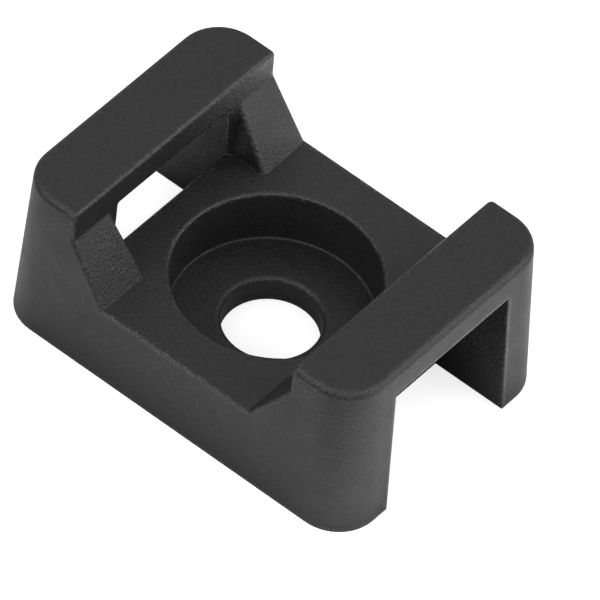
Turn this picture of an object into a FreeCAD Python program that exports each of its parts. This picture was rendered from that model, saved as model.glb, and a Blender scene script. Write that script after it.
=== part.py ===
"""Saddle cable tie mount, moulded in one piece.

Two drafted bridges stand at the ends of a screw-down base. A tie passes under
each bridge through a slot that is open to the end and to the surface below,
and gussets carry the bridges down to the deck between them.
Units are millimetres. The origin is the centre of the flat underside, X runs
along the length, Y across the width and Z up.
"""
import FreeCAD, Part
import math
import os

# Overall size, measured on the flat underside.
length = 23.0
width = 16.0
height = 10.0
corner_radius = 2.4

# Draft of the outer walls, in degrees.
end_draft = 2.4
side_draft = 1.4

# Deck between the bridges, and the bridges over the tie slots.
deck_height = 4.8
bridge_depth = 4.45
bridge_thickness = 1.72

# Gussets: their slope in degrees, the reach of their foot, the gap between
# them at the deck and the draft of that gap.
gusset_angle = 55.5
gusset_reach = 2.3
gusset_gap = 9.2
gusset_draft = 6.0

# Slots for the tie, widest at the underside.
slot_depth = 4.35
slot_width = 8.7
slot_draft = 1.0

# Recess for the screw's head, and the screw's clearance hole.
recess_radius = 5.38
recess_floor = 1.5
hole_radius = 2.57

# Blend radii.
gusset_blend = 0.25
kink_blend = 0.35
side_blend = 0.25
deck_side_blend = 0.1
crown_blend = 0.45
slot_roof_blend = 0.15
slot_end_blend = 0.07
deck_end_blend = 0.13
recess_rim_blend = 0.2
recess_floor_blend = 0.12
hole_rim_blend = 0.3

# Cutting shapes run this far past the body, and an edge is found by where its
# middle lies, to this tolerance.
overrun = 2.0
tolerance = 0.01


def vector(x, y, z):
    return FreeCAD.Vector(x, y, z)


def lean(angle, rise):
    """How far a drafted wall moves sideways over a rise."""
    return rise * math.tan(math.radians(angle))


# Places that follow from the sizes above.
bridge_inner = length / 2 - bridge_depth
bridge_under = height - bridge_thickness
slot_inner = length / 2 - slot_depth
foot = bridge_inner - gusset_reach
kink_height = deck_height + gusset_reach * math.tan(math.radians(gusset_angle))


def near(a, b):
    return abs(a - b) < tolerance


def on_side_wall(point):
    return near(abs(point.y), width / 2 - lean(side_draft, point.z))


def on_end_wall(point):
    return near(abs(point.x), length / 2 - lean(end_draft, point.z))


def gap_half(z):
    """Half the gap between the gussets at a level."""
    return gusset_gap / 2 + lean(gusset_draft, z - deck_height)


def slot_half(z):
    """Half the width of a tie slot at a level."""
    return slot_width / 2 + lean(slot_draft, bridge_under - z)


def prism(outline, travel):
    """Solid swept straight from a closed outline of points."""
    return Part.Face(Part.makePolygon(outline + outline[:1])).extrude(travel)


def blend(shape, radius, test):
    """Round the edges whose middle point passes a test."""
    edges = []
    for edge in shape.Edges:
        if test(edge.valueAt((edge.FirstParameter + edge.LastParameter) / 2)):
            edges.append(edge)
    return shape.makeFillet(radius, edges)


def outer_block():
    """The body before anything is cut: four leaning walls and round corners."""
    low_x, low_y = length / 2, width / 2
    high_x = low_x - lean(end_draft, height)
    high_y = low_y - lean(side_draft, height)
    side_view = [vector(-low_x, -width, 0), vector(low_x, -width, 0),
                 vector(high_x, -width, height), vector(-high_x, -width, height)]
    end_view = [vector(-length, -low_y, 0), vector(-length, low_y, 0),
                vector(-length, high_y, height), vector(-length, -high_y, height)]
    along = prism(side_view, vector(0, 2 * width, 0))
    across = prism(end_view, vector(2 * length, 0, 0))
    block = along.common(across)
    return blend(block, corner_radius, lambda p: on_side_wall(p) and on_end_wall(p))


def saddle_cut():
    """Space above the deck, seen from the side, with the slopes of the gussets."""
    top = height + overrun
    right = [vector(foot, -width, deck_height), vector(bridge_inner, -width, kink_height),
             vector(bridge_inner, -width, top)]
    left = [vector(-point.x, point.y, point.z) for point in reversed(right)]
    return prism(left + right, vector(0, 2 * width, 0))


def drafted_bar(start, end, low, high, half_at):
    """Straight bar along X whose half width at each level is given."""
    outline = [vector(start, -half_at(low), low), vector(start, half_at(low), low),
               vector(start, half_at(high), high), vector(start, -half_at(high), high)]
    return prism(outline, vector(end - start, 0, 0))


def gusset_pocket():
    """Space between the gussets, wider towards the top."""
    return drafted_bar(-bridge_inner, bridge_inner, deck_height, height + overrun, gap_half)


def tie_slot(side):
    """One tie slot: a channel out to the end, and its mouth above the deck."""
    outside = side * (length / 2 + overrun)
    channel = drafted_bar(side * slot_inner, outside, -overrun, bridge_under, slot_half)
    mouth = drafted_bar(side * foot, outside, deck_height, bridge_under, slot_half)
    slot = channel.fuse(mouth).removeSplitter()

    def on_roof_edge(point):
        return near(point.z, bridge_under) and near(abs(point.y), slot_half(point.z))
    return blend(slot, slot_roof_blend, on_roof_edge)


def screw_recess():
    """Round recess in the deck for the screw's head."""
    depth = deck_height + overrun - recess_floor
    return Part.makeCylinder(recess_radius, depth, vector(0, 0, recess_floor))


def screw_hole():
    """Clearance hole through the floor of the recess."""
    depth = recess_floor + 2 * overrun
    return Part.makeCylinder(hole_radius, depth, vector(0, 0, -overrun))


def saddle_body():
    """Deck, gussets and bridges with their rounded edges, still without slots.

    A blend runs on along its smooth neighbours, so the side blend also rounds
    the inner top edges of the bridges.
    """
    body = outer_block().cut(saddle_cut().fuse(gusset_pocket())).removeSplitter()
    slope_middle = (deck_height + kink_height) / 2

    def on_slope(point):
        on_inner_face = near(abs(point.y), gap_half(point.z)) and near(point.z, slope_middle)
        return on_inner_face and foot < abs(point.x) < bridge_inner - tolerance

    def on_kink(point):
        return near(point.z, kink_height) and near(abs(point.x), bridge_inner)

    def on_saddle_side(point):
        between = deck_height + tolerance < point.z < height - tolerance
        return on_side_wall(point) and between and abs(point.x) < bridge_inner + tolerance

    def on_outer_crown(point):
        return near(point.z, height) and not near(abs(point.x), bridge_inner)

    body = blend(body, gusset_blend, on_slope)
    body = blend(body, kink_blend, on_kink)
    body = blend(body, crown_blend, on_outer_crown)
    body = blend(body, side_blend, on_saddle_side)
    return blend(body, deck_side_blend, lambda p: on_side_wall(p) and near(p.z, deck_height))


def with_slots(body):
    """The body with both tie slots and their softened edges."""
    for side in (-1, 1):
        body = body.cut(tie_slot(side))

    def on_slot_mouth(point):
        within = abs(point.y) < slot_half(0) + tolerance and 0 < point.z < bridge_under + tolerance
        return on_end_wall(point) and within

    def on_deck_end(point):
        return near(abs(point.x), slot_inner) and near(point.z, deck_height) and near(point.y, 0)

    body = blend(body, slot_end_blend, on_slot_mouth)
    return blend(body, deck_end_blend, on_deck_end)


def with_screw_seat(body):
    """The body with the head recess and the screw hole, rims and recess floor rounded."""
    body = body.cut(screw_recess()).cut(screw_hole())

    def on_circle(radius, level):
        return lambda point: near(point.z, level) and near(math.hypot(point.x, point.y), radius)

    body = blend(body, recess_rim_blend, on_circle(recess_radius, deck_height))
    body = blend(body, recess_floor_blend, on_circle(recess_radius, recess_floor))
    return blend(body, hole_rim_blend, on_circle(hole_radius, recess_floor))


def tie_mount():
    return with_screw_seat(with_slots(saddle_body())).removeSplitter()


def main():
    os.makedirs("parts", exist_ok=True)
    shape = tie_mount()
    shape.exportStep("parts/tie_mount.step")
    print("tie_mount", "volume", round(shape.Volume, 2), "mm3, valid", shape.isValid())


main()
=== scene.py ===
"""Looks of the cable tie mount: black moulded nylon on a pale studio floor.

Metres, in the CAD frame: X along the length, Y across the width, Z up.
"""
import math

import bpy
from mathutils import Matrix, Vector

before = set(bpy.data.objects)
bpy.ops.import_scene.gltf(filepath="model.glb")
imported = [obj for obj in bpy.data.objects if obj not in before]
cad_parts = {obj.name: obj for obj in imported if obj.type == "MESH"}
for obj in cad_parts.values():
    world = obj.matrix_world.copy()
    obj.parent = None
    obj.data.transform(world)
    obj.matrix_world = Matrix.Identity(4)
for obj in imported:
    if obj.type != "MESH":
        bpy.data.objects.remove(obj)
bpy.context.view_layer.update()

MM = 0.001

# Camera, fitted to the photograph's outlines. TARGET falls on TARGET_PIXEL, and
# SENSOR is in millimetres.
IMAGE = 600
AZIMUTH, ELEVATION, ROLL = (math.radians(a) for a in (35.339, 48.940, 6.460))
DISTANCE = 636.731 * MM
FOCAL_PIXELS = 12720.8
SENSOR = 36.0
TARGET = Vector((0, 0, 5 * MM))
TARGET_PIXEL = (276.975, 272.590)
CLIP_FACTOR = 10

# The nylon's colour where it is smooth and where its grain is high, and on its
# rubbed edges, lighter partly from wear and partly as painted highlight, between
# the painted glints and in them.
BLACK = (0.005, 0.0051, 0.0055, 1)
GREY = (0.012, 0.0122, 0.0130, 1)
RUBBED_AND_HIGHLIGHT = (0.017, 0.0172, 0.0180, 1)
PAINTED_GLINT = (0.070, 0.0704, 0.0717, 1)
NYLON_IOR = 1.52
ROUGHNESS = (0.42, 0.54)
RUBBED_ROUGHNESS = 0.11

# Noises in the nylon, each by its size, detail and roughness.
GRAIN = (0.14 * MM, 3.0, 0.6)
RIPPLE = (0.45 * MM, 2.0, 0.5)
MOTTLE = (1.6 * MM, 4.0, 0.6)
SPARKLE = (0.14 * MM, 1.0, 0.5)

# Parts of the noises' range over which the grain goes from BLACK to GREY, the
# mottling over ROUGHNESS, the sparkle over the strength of the edge wear and painted
# highlight, and from the rubbed edge colour to the painted glint colour.
GRAIN_RANGE = (0.40, 0.62)
MOTTLE_RANGE = (0.3, 0.7)
WEAR_AND_HIGHLIGHT_RANGE = (0.36, 0.56)
PAINTED_GLINT_RANGE = (0.58, 0.68)
WEAR_AND_HIGHLIGHT = (0.50, 1.0)

# Height of the ripple and the grain. The grain is weaker on faces that lie level,
# found by the upward part of their normal.
RIPPLE_DEPTH = 0.010 * MM
RIPPLE_STRENGTH = 0.5
GRAIN_DEPTH = 0.060 * MM
GRAIN_STRENGTH = (1.0, 0.62)
LEVEL_RANGE = (0.80, 0.95)

# Rubbed edges, lighter partly from wear and partly as painted highlight: how far
# rays look for a wall from inside the body, and the share of them that meets none on
# a flat face and on an edge. SOFT_EDGE rounds the shading.
EDGE_REACH = 0.33 * MM
EDGE_RANGE = (0.92, 0.72)
EDGE_RAYS = 8
SOFT_EDGE = 0.10 * MM
SOFT_EDGE_RAYS = 6

# Floor, just under the body, and its glow to the camera.
FLOOR_SIZE = 4.0
FLOOR_DROP = 0.02 * MM
FLOOR_COLOUR = (0.80, 0.80, 0.80, 1)
FLOOR_GLOW = 0.60

# The floor's light in the object's sheen: its brightness near the middle and far
# out, then factors on it. Two are given at both ends of a range, one along
# FLOOR_FRONT_WAY and one along X, and one in the middle of each of two spots.
# Nooks are darker by the power FLOOR_SHADE.
FLOOR_REACH = (14 * MM, 28 * MM)
FLOOR_LIGHT = (2.05, 0.78)
FLOOR_FRONT_WAY = (-0.25, 1.0, 0.0)
FLOOR_FRONT = (-30 * MM, -13 * MM)
FLOOR_FRONT_FACTOR = (0.1, 1.0)
FLOOR_SIDES = (-20 * MM, 20 * MM)
FLOOR_SIDES_FACTOR = (0.76, 1.12)
FLOOR_SPOTS = (((14 * MM, -3 * MM, 0), 1.32), ((-3 * MM, 14 * MM, 0), 1.35))
FLOOR_SPOT_REACH = (4 * MM, 11 * MM)
FLOOR_NOOK = 12 * MM
FLOOR_SHADE = 2.6

# Tent round the object: its brightness from the walls to the ceiling, over a
# range of heights on the unit sphere, and the plain white that the camera sees.
TENT_RISE = (0.0, 0.8)
TENT_LIGHT = (0.02, 0.75)
PLAIN_LIGHT = 1.0
WHITE = (1, 1, 1, 1)

# Lamps, each by its place, its width and height, and its radiance.
LAMPS = {
    "back_right": ((0.34, 0.22, 0.19), (0.42, 0.30), 3.1),
    "front_left": ((-0.15, -0.33, 0.27), (0.30, 0.24), 4.2),
    "beside_camera": ((0.30, -0.225, 0.33), (0.20, 0.20), 4.8),
    "back_left": ((-0.40, 0.28, 0.15), (0.50, 0.24), 0.4),
}

SEEN_RAYS = ("Is Camera Ray", "Is Transmission Ray")
NODE_GRID = (240, 340)


def feed(tree, value, socket):
    """Links a socket to another node's output, or sets it to a constant."""
    if isinstance(value, bpy.types.NodeSocket):
        tree.links.new(value, socket)
    else:
        socket.default_value = value


def new_node(tree, kind, place, **inputs):
    """A node at a grid place, with the inputs that are named fed."""
    node = tree.nodes.new(kind)
    node.location = (place[0] * NODE_GRID[0], place[1] * NODE_GRID[1])
    for name, value in inputs.items():
        feed(tree, value, node.inputs[name.replace("_", " ")])
    return node


def maths(tree, operation, values, place, kind="ShaderNodeMath"):
    """One number worked out from others, or from vectors."""
    node = new_node(tree, kind, place)
    node.operation = operation
    for value, socket in zip(values, node.inputs):
        feed(tree, value, socket)
    return node.outputs["Value"]


def vector_maths(tree, operation, values, place):
    return maths(tree, operation, values, place, kind="ShaderNodeVectorMath")


def spread(tree, value, source, place, target=(0.0, 1.0)):
    """Stretches the source range of a value over the target range."""
    node = new_node(tree, "ShaderNodeMapRange", place, Value=value, From_Min=source[0],
                    From_Max=source[1], To_Min=target[0], To_Max=target[1])
    return node.outputs["Result"]


def noise(tree, coordinates, pattern, place):
    size, detail, roughness = pattern
    node = new_node(tree, "ShaderNodeTexNoise", place, Vector=coordinates, Scale=1 / size,
                    Detail=detail, Roughness=roughness)
    return node.outputs["Fac"]


def mix_number(tree, factor, first, second, place):
    node = new_node(tree, "ShaderNodeMix", place, Factor=factor, A=first, B=second)
    return node.outputs["Result"]


def mix_colour(tree, factor, first, second, place):
    node = new_node(tree, "ShaderNodeMix", place, Factor=factor)
    node.data_type = "RGBA"
    colours = [socket for socket in node.inputs if socket.type == "RGBA"]
    for value, socket in zip((first, second), colours):
        feed(tree, value, socket)
    return [socket for socket in node.outputs if socket.type == "RGBA"][0]


def bump(tree, height, depth, strength, under, place):
    """Normal of a surface whose height is added to the one under it."""
    node = new_node(tree, "ShaderNodeBump", place, Height=height, Distance=depth,
                    Strength=strength, Normal=under)
    return node.outputs["Normal"]


def on_rays(tree, kinds, place):
    """1 on rays of the named kinds, 0 on others."""
    path = new_node(tree, "ShaderNodeLightPath", place)
    value = path.outputs[kinds[0]]
    for step, kind in enumerate(kinds[1:], 1):
        value = maths(tree, "MAXIMUM", (value, path.outputs[kind]), (place[0] + step, place[1]))
    return value


def new_material(name):
    """An empty node material, with its tree."""
    material = bpy.data.materials.new(name)
    material.use_nodes = True
    material.node_tree.nodes.clear()
    return material, material.node_tree


def edge_mask(tree):
    """1 on convex edges, where rays inside the body soon leave it, 0 on flat faces."""
    inside = new_node(tree, "ShaderNodeAmbientOcclusion", (-3, 3), Distance=EDGE_REACH)
    inside.inside = True
    inside.only_local = True
    inside.samples = EDGE_RAYS
    return spread(tree, inside.outputs["AO"], EDGE_RANGE, (-2, 3))


def nylon_normal(tree, ripple, grain):
    """Softened edges, then the ripple, then the grain, which is weaker on level faces."""
    soft = new_node(tree, "ShaderNodeBevel", (-3, -3), Radius=SOFT_EDGE)
    soft.samples = SOFT_EDGE_RAYS
    normal = new_node(tree, "ShaderNodeNewGeometry", (-4, -4)).outputs["Normal"]
    facing = new_node(tree, "ShaderNodeSeparateXYZ", (-3, -4), Vector=normal)
    strength = spread(tree, facing.outputs["Z"], LEVEL_RANGE, (-2, -4), GRAIN_STRENGTH)
    rippled = bump(tree, ripple, RIPPLE_DEPTH, RIPPLE_STRENGTH, soft.outputs["Normal"], (-2, -1))
    return bump(tree, grain, GRAIN_DEPTH, strength, rippled, (-1, -1))


def black_nylon():
    """Spark-eroded matt black: fine grain, a slow ripple, mottled sheen, and rubbed edges
    lighter partly as painted highlight, with painted glints.
    """
    material, tree = new_material("black_nylon_grained")
    place = new_node(tree, "ShaderNodeTexCoord", (-4, 0)).outputs["Object"]
    grain = noise(tree, place, GRAIN, (-3, 0))
    ripple = noise(tree, place, RIPPLE, (-3, -1))
    mottle = noise(tree, place, MOTTLE, (-3, -2))
    sparkle = noise(tree, place, SPARKLE, (-3, 2))

    # Edge mask: smooths the edges and lightens them, partly as wear and partly as painted
    # highlight.
    wear_and_highlight = spread(tree, sparkle, WEAR_AND_HIGHLIGHT_RANGE, (-2, 2), WEAR_AND_HIGHLIGHT)
    edge = maths(tree, "MULTIPLY", (edge_mask(tree), wear_and_highlight), (-1, 3))

    colour = mix_colour(tree, spread(tree, grain, GRAIN_RANGE, (-2, 1)), BLACK, GREY, (-1, 1))
    # Painted glints: bright specks on the edges that stand in for highlights.
    painted_glint = spread(tree, sparkle, PAINTED_GLINT_RANGE, (-2, 4))
    rubbed_and_painted_glint = mix_colour(tree, painted_glint, RUBBED_AND_HIGHLIGHT, PAINTED_GLINT, (-1, 4))
    colour = mix_colour(tree, edge, colour, rubbed_and_painted_glint, (0, 1))

    rough = spread(tree, mottle, MOTTLE_RANGE, (-2, -2), ROUGHNESS)
    rough = mix_number(tree, edge, rough, RUBBED_ROUGHNESS, (-1, -2))

    shader = new_node(tree, "ShaderNodeBsdfPrincipled", (1, 0), Base_Color=colour,
                      Roughness=rough, IOR=NYLON_IOR, Normal=nylon_normal(tree, ripple, grain))
    new_node(tree, "ShaderNodeOutputMaterial", (2, 0), Surface=shader.outputs["BSDF"])
    return material


def floor_light(tree):
    """Brightness of the floor in the object's sheen.

    It falls off in nooks, far out, to the left and in front, and is more in
    two spots, at the right end and behind.
    """
    place = new_node(tree, "ShaderNodeTexCoord", (-6, -2)).outputs["Object"]
    reach = vector_maths(tree, "LENGTH", (place,), (-5, -1))
    light = spread(tree, reach, FLOOR_REACH, (-4, -1), FLOOR_LIGHT)

    across = vector_maths(tree, "DOT_PRODUCT", (place, FLOOR_FRONT_WAY), (-5, -2))
    front = spread(tree, across, FLOOR_FRONT, (-4, -2), FLOOR_FRONT_FACTOR)
    along = new_node(tree, "ShaderNodeSeparateXYZ", (-5, -3), Vector=place).outputs["X"]
    sides = spread(tree, along, FLOOR_SIDES, (-4, -3), FLOOR_SIDES_FACTOR)
    open_air = new_node(tree, "ShaderNodeAmbientOcclusion", (-5, -4), Distance=FLOOR_NOOK)
    shade = maths(tree, "POWER", (open_air.outputs["AO"], FLOOR_SHADE), (-4, -4))
    factors = [front, sides, shade]
    for row, (centre, gain) in enumerate(FLOOR_SPOTS, 5):
        away = vector_maths(tree, "DISTANCE", (place, centre), (-5, -row))
        factors.append(spread(tree, away, FLOOR_SPOT_REACH, (-4, -row), (gain, 1.0)))

    for step, factor in enumerate(factors):
        light = maths(tree, "MULTIPLY", (light, factor), (step - 3, -2))
    return light


def floor_white():
    """White that takes the object's shadow, with its own light in the object's sheen."""
    material, tree = new_material("floor_white")
    diffuse = new_node(tree, "ShaderNodeBsdfDiffuse", (1, 1), Color=FLOOR_COLOUR)
    seen = on_rays(tree, SEEN_RAYS, (-2, 0))
    glow = spread(tree, seen, (0, 1), (1, 0), (0.0, FLOOR_GLOW))
    glow = new_node(tree, "ShaderNodeEmission", (2, 0), Strength=glow)
    plain = new_node(tree, "ShaderNodeAddShader", (3, 0))
    sheen = new_node(tree, "ShaderNodeEmission", (3, -1), Strength=floor_light(tree))
    glossy = on_rays(tree, ("Is Glossy Ray",), (2, 1))
    either = new_node(tree, "ShaderNodeMixShader", (4, 0), Fac=glossy)
    for shader, socket in ((diffuse.outputs["BSDF"], plain.inputs[0]),
                           (glow.outputs["Emission"], plain.inputs[1]),
                           (plain.outputs["Shader"], either.inputs[1]),
                           (sheen.outputs["Emission"], either.inputs[2])):
        tree.links.new(shader, socket)
    new_node(tree, "ShaderNodeOutputMaterial", (5, 0), Surface=either.outputs["Shader"])
    return material


def pale_floor():
    bpy.ops.mesh.primitive_plane_add(size=FLOOR_SIZE, location=(0, 0, -FLOOR_DROP))
    floor = bpy.context.object
    floor.name = "floor"
    floor.data.materials.append(floor_white())


def studio_world():
    """Pale ceiling over dimmer walls, and plain white where the camera sees it."""
    world = bpy.data.worlds.new("studio")
    bpy.context.scene.world = world
    world.use_nodes = True
    tree = world.node_tree
    tree.nodes.clear()
    way = new_node(tree, "ShaderNodeTexCoord", (-3, -1)).outputs["Generated"]
    rise = new_node(tree, "ShaderNodeSeparateXYZ", (-2, -1), Vector=way).outputs["Z"]
    tent = spread(tree, rise, TENT_RISE, (-1, -1), TENT_LIGHT)
    light = mix_number(tree, on_rays(tree, SEEN_RAYS, (-2, 0)), tent, PLAIN_LIGHT, (1, 0))
    background = new_node(tree, "ShaderNodeBackground", (2, 0), Color=WHITE, Strength=light)
    new_node(tree, "ShaderNodeOutputWorld", (3, 0), Surface=background.outputs["Background"])


def softbox(name, place, size, radiance):
    """Rectangular lamp that faces the object, with its radiance given."""
    light = bpy.data.lights.new(name, "AREA")
    light.shape = "RECTANGLE"
    light.size, light.size_y = size
    light.energy = radiance * math.pi * size[0] * size[1]
    lamp = bpy.data.objects.new(name, light)
    lamp.location = place
    lamp.rotation_mode = "QUATERNION"
    lamp.rotation_quaternion = (TARGET - Vector(place)).to_track_quat("-Z", "Y")
    bpy.context.scene.collection.objects.link(lamp)


def photo_camera():
    """The photograph's camera: a long lens, rolled, and moved aside without turning."""
    back = Vector((math.sin(AZIMUTH) * math.cos(ELEVATION),
                   -math.cos(AZIMUTH) * math.cos(ELEVATION), math.sin(ELEVATION)))
    level = Vector((math.cos(AZIMUTH), math.sin(AZIMUTH), 0))
    rise = back.cross(level)
    right = level * math.cos(ROLL) + rise * math.sin(ROLL)
    up = rise * math.cos(ROLL) - level * math.sin(ROLL)
    pixel = DISTANCE / FOCAL_PIXELS
    aside = right * (IMAGE / 2 - TARGET_PIXEL[0]) * pixel
    above = up * (TARGET_PIXEL[1] - IMAGE / 2) * pixel
    data = bpy.data.cameras.new("camera")
    data.sensor_width = SENSOR
    data.lens = FOCAL_PIXELS / IMAGE * SENSOR
    data.clip_start = DISTANCE / CLIP_FACTOR
    data.clip_end = DISTANCE * CLIP_FACTOR
    camera = bpy.data.objects.new("camera", data)
    turn = Matrix((right, up, back)).transposed().to_4x4()
    camera.matrix_world = Matrix.Translation(TARGET + back * DISTANCE + aside + above) @ turn
    bpy.context.scene.collection.objects.link(camera)
    bpy.context.scene.camera = camera


def dress(node, material):
    """Gives a CAD node its material through its object's own slot."""
    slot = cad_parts[node].material_slots[0]
    slot.link = "OBJECT"
    slot.material = material


dress("tie_mount", black_nylon())
pale_floor()
studio_world()
for name, (place, size, radiance) in LAMPS.items():
    softbox(name, place, size, radiance)
photo_camera()
bpy.context.scene.view_settings.view_transform = "Standard"
